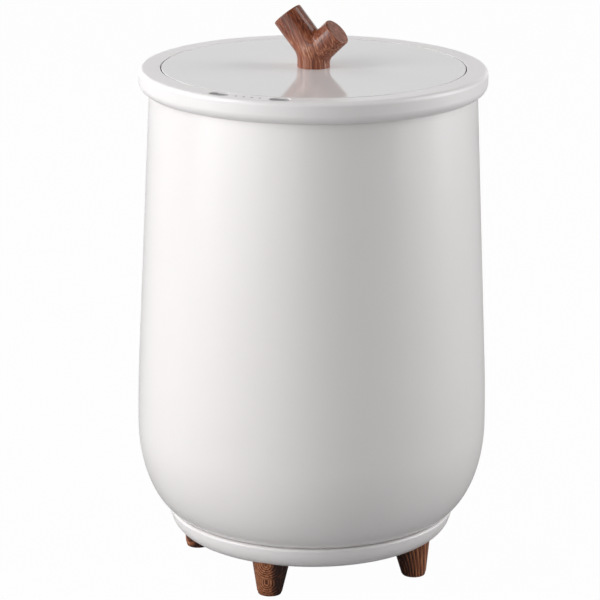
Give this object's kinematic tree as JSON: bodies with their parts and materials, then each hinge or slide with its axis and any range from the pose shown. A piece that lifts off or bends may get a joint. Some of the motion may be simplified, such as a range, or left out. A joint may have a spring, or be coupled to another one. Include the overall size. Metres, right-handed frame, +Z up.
{
  "type": "towel warmer bucket",
  "caption": "Barrel-shaped electric towel warmer: lift-off flush lid with a forked wood handle, top ring with push buttons, heated pot inside, splayed wood feet.",
  "frame": {"origin": "centre of the object on the floor it stands on", "axes": "+Z up along the body's axis; -Y towards the controls on the top ring; +X towards the short arm of the handle"},
  "size_m": [0.3099, 0.31, 0.5027],
  "materials": {
    "walnut": "satin stained walnut with a fine open grain",
    "shell_white": "smooth satin white enamel",
    "ring_white": "semi-gloss white moulding",
    "lid_white": "high-gloss white moulding",
    "button_grey": "dished dark-grey caps, semi-gloss",
    "light_window": "frosted light windows",
    "led": "clear resin",
    "pot_metal": "brushed, anodised",
    "steel": "zinc-plated",
    "black_rubber": "matte moulded rubber",
    "silicone": "soft silicone",
    "heater_silicone": "orange-brown silicone sheet",
    "glass_wool": "fluffy glass wool",
    "circuit_green": "solder-masked laminate",
    "coil_tape": "yellow tape over a ferrite core",
    "relay_blue": "moulded case",
    "terminal_green": "moulded block",
    "connector_cream": "moulded housing",
    "switch_black": "moulded phenolic",
    "fuse_sleeve": "woven glass sleeve",
    "wire_red": "silicone insulation",
    "wire_grey": "smooth jacket"
  },
  "bodies": {
    "housing": {"foot_front": "walnut", "foot_right": "walnut", "foot_back": "walnut", "foot_left": "walnut", "foot_pads": "black_rubber", "foot_studs": "steel", "foot_nuts": "steel", "base_pan": "ring_white", "base_screws": "steel", "cord_gland": "black_rubber", "outer_shell": "shell_white", "rim_ring": "ring_white", "ring_screws": "steel", "inner_pot": "pot_metal", "pot_cushions": "silicone", "heat_shield": "steel", "shield_screws": "steel", "heating_belt": "heater_silicone", "belt_straps": "steel", "insulation_wrap": "glass_wool", "thermostat": "switch_black", "thermal_fuse": "fuse_sleeve", "power_board": "circuit_green", "transformer": "coil_tape", "relay": "relay_blue", "terminal_block": "terminal_green", "board_screws": "steel", "heater_lead": "wire_red", "control_cable": "wire_grey", "control_board": "circuit_green", "cable_socket": "connector_cream", "panel_screws": "steel", "key_switches": "switch_black", "indicator_leds": "led", "light_pipes": "light_window"},
    "lid": {"lid_cover": "lid_white", "lid_liner": "pot_metal", "lid_insulation": "glass_wool", "lid_seal": "silicone", "lid_screws": "steel", "handle": "walnut", "handle_bolt": "steel", "handle_washer": "steel"},
    "power_button": {"power_button": "button_grey"},
    "timer_button": {"timer_button": "button_grey"}
  },
  "joints": [
    {"name": "lid_lift", "type": "slide", "parent": "housing", "child": "lid", "axis": [0, 0, 1], "range_m": [0, 0.26]},
    {"name": "power_press", "type": "slide", "parent": "housing", "child": "power_button", "axis": [0, 0, -1], "range_m": [0, 0.001], "stiffness_N_per_m": 1500, "springref_m": -0.0003},
    {"name": "timer_press", "type": "slide", "parent": "housing", "child": "timer_button", "axis": [0, 0, -1], "range_m": [0, 0.001], "stiffness_N_per_m": 1500, "springref_m": -0.0003}
  ]
}
